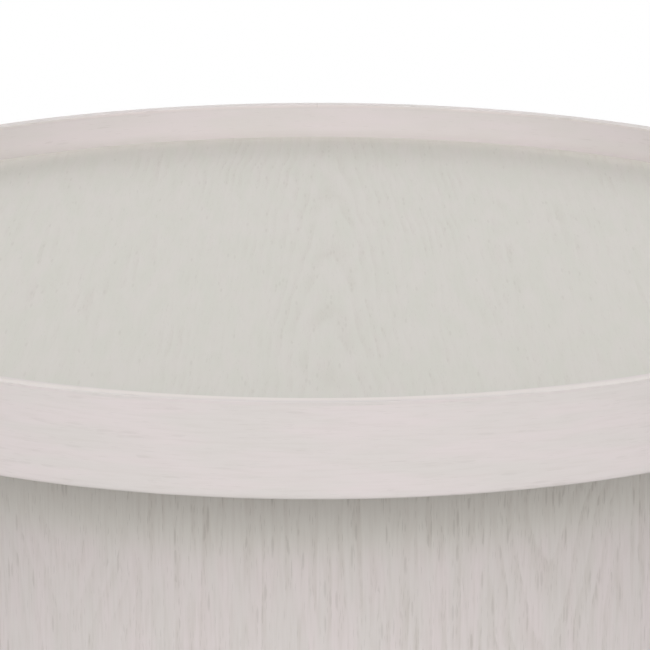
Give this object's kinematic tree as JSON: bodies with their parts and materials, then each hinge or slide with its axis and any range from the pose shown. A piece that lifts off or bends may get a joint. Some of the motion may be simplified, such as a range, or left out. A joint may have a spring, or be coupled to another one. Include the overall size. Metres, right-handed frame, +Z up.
{
  "type": "pedestal side table",
  "caption": "Round side table: a lipped tray top of white-washed oak veneer on a hollow drum pedestal with hidden screw levellers.",
  "frame": {"origin": "on the floor, on the axis of the table", "axes": "+Z up along the axis of the drum; the front faces -Y and the drum's veneer seam is at +Y"},
  "size_m": [0.5079, 0.508, 0.533],
  "materials": {
    "oak_veneer": "white-washed open-pore oak veneer under a matt lacquer",
    "fibreboard": "raw fibreboard",
    "plywood": "bent or flat plywood, sanded and sealed",
    "softwood": "planed, unfinished",
    "zinc_steel": "bright zinc plate",
    "brass": "machined",
    "nylon": "moulded, satin"
  },
  "bodies": {
    "pedestal": {"tray_face_veneer": "oak_veneer", "tray_backing_veneer": "oak_veneer", "rim_outer_veneer": "oak_veneer", "rim_inner_veneer": "oak_veneer", "rim_lipping": "oak_veneer", "drum_veneer": "oak_veneer", "tray_panel_core": "fibreboard", "drum_top_plate": "fibreboard", "rim_hoop": "plywood", "drum_shell_front": "plywood", "drum_shell_back": "plywood", "drum_rib_ring": "plywood", "drum_bottom_ring": "plywood", "drum_spline_right": "plywood", "drum_spline_left": "plywood", "drum_batten_1": "softwood", "drum_batten_2": "softwood", "drum_batten_3": "softwood", "drum_batten_4": "softwood", "drum_batten_5": "softwood", "drum_batten_6": "softwood", "glue_blocks_top": "softwood", "glue_blocks_bottom": "softwood", "tray_dowels": "softwood", "tray_washers": "zinc_steel", "tray_bolts": "zinc_steel", "top_plate_screws": "zinc_steel", "bottom_ring_screws": "zinc_steel", "tray_inserts": "brass", "foot_inserts": "brass"},
    "leveller_pad_1": {"foot_pad_1": "nylon"},
    "leveller_stem_1": {"foot_stem_1": "zinc_steel"},
    "leveller_pad_2": {"foot_pad_2": "nylon"},
    "leveller_stem_2": {"foot_stem_2": "zinc_steel"},
    "leveller_pad_3": {"foot_pad_3": "nylon"},
    "leveller_stem_3": {"foot_stem_3": "zinc_steel"},
    "leveller_pad_4": {"foot_pad_4": "nylon"},
    "leveller_stem_4": {"foot_stem_4": "zinc_steel"}
  },
  "joints": [
    {"name": "leveller_1_travel", "type": "slide", "parent": "pedestal", "child": "leveller_pad_1", "axis": [0, 0, -1], "range_m": [0, 0.009]},
    {"name": "leveller_1_turn", "type": "hinge", "parent": "leveller_pad_1", "child": "leveller_stem_1", "pos_m": [0.11681, 0.11681, 0], "axis": [0, 0, -1], "range_deg": [0, 2520]},
    {"name": "leveller_2_travel", "type": "slide", "parent": "pedestal", "child": "leveller_pad_2", "axis": [0, 0, -1], "range_m": [0, 0.009]},
    {"name": "leveller_2_turn", "type": "hinge", "parent": "leveller_pad_2", "child": "leveller_stem_2", "pos_m": [-0.11681, 0.11681, 0], "axis": [0, 0, -1], "range_deg": [0, 2520]},
    {"name": "leveller_3_travel", "type": "slide", "parent": "pedestal", "child": "leveller_pad_3", "axis": [0, 0, -1], "range_m": [0, 0.009]},
    {"name": "leveller_3_turn", "type": "hinge", "parent": "leveller_pad_3", "child": "leveller_stem_3", "pos_m": [-0.11681, -0.11681, 0], "axis": [0, 0, -1], "range_deg": [0, 2520]},
    {"name": "leveller_4_travel", "type": "slide", "parent": "pedestal", "child": "leveller_pad_4", "axis": [0, 0, -1], "range_m": [0, 0.009]},
    {"name": "leveller_4_turn", "type": "hinge", "parent": "leveller_pad_4", "child": "leveller_stem_4", "pos_m": [0.11681, -0.11681, 0], "axis": [0, 0, -1], "range_deg": [0, 2520]}
  ],
  "couplings": [
    {"joint": "leveller_1_travel", "follows": "leveller_1_turn", "m_per_rad": 0.00019894},
    {"joint": "leveller_2_travel", "follows": "leveller_2_turn", "m_per_rad": 0.00019894},
    {"joint": "leveller_3_travel", "follows": "leveller_3_turn", "m_per_rad": 0.00019894},
    {"joint": "leveller_4_travel", "follows": "leveller_4_turn", "m_per_rad": 0.00019894}
  ]
}
